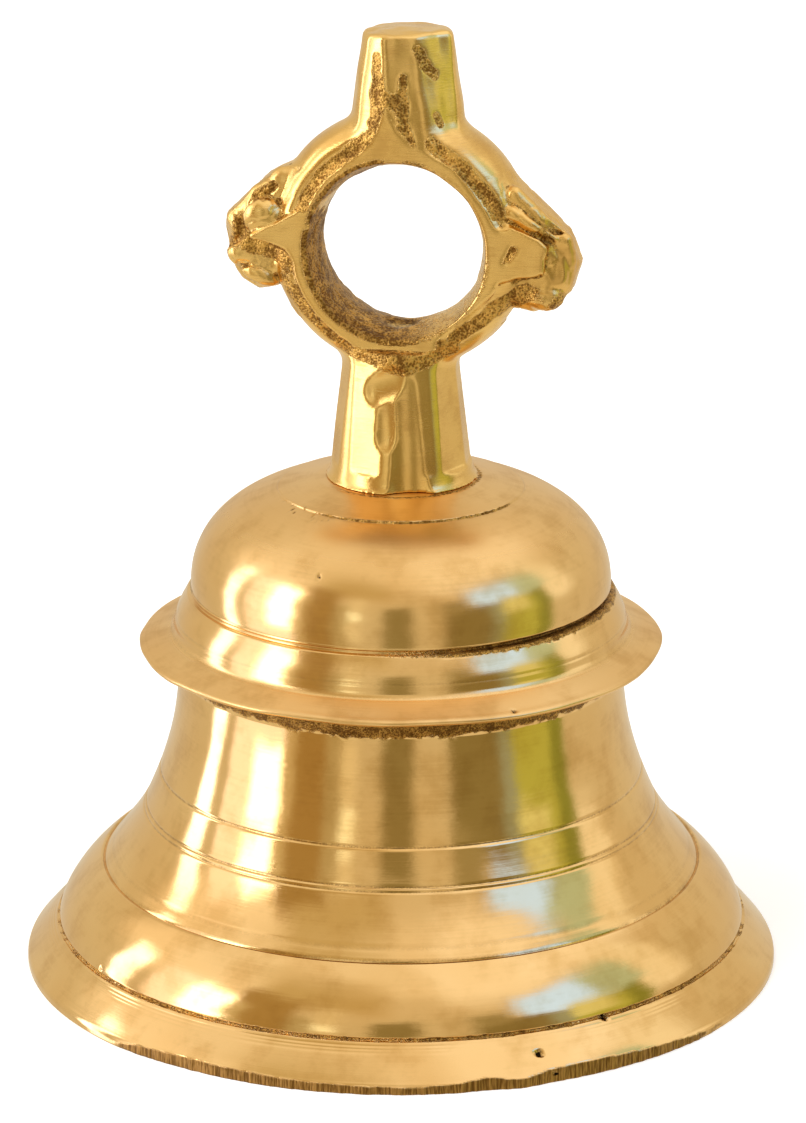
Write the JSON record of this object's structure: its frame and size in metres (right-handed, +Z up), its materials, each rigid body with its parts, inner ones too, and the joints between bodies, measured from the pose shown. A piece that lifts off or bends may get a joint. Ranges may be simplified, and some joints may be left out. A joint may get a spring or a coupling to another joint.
{
  "type": "hand-cast brass altar bell",
  "caption": "Turned brass altar bell with a flared mouth, a cast ring crown for hanging and an inner clapper on a split link.",
  "frame": {"origin": "centre of the mouth, on the plane that the rim stands on", "axes": "+Z up along the bell's axis, +Y along the bore of the hanging ring, +X towards the ring's right-hand lug"},
  "size_m": [0.15, 0.15, 0.188],
  "materials": {
    "turned_brass": "polished",
    "cast_brass": "satin",
    "plain_steel": "satin"
  },
  "bodies": {
    "bell": {"bell_shell": "turned_brass", "crown_hanger": "cast_brass", "eye_bolt": "plain_steel", "inner_washer": "plain_steel", "lock_nut": "plain_steel"},
    "link": {"clapper_link": "plain_steel"},
    "clapper": {"clapper_rod": "plain_steel", "clapper_ball": "cast_brass", "clapper_tail": "cast_brass"}
  },
  "joints": [
    {"name": "link_swing", "type": "hinge", "parent": "bell", "child": "link", "pos_m": [0, 0, 0.07345], "axis": [1, 0, 0], "range_deg": [-12, 12]},
    {"name": "clapper_swing", "type": "hinge", "parent": "link", "child": "clapper", "pos_m": [0, 0, 0.0634], "axis": [0, 1, 0], "range_deg": [-41, 41]}
  ]
}
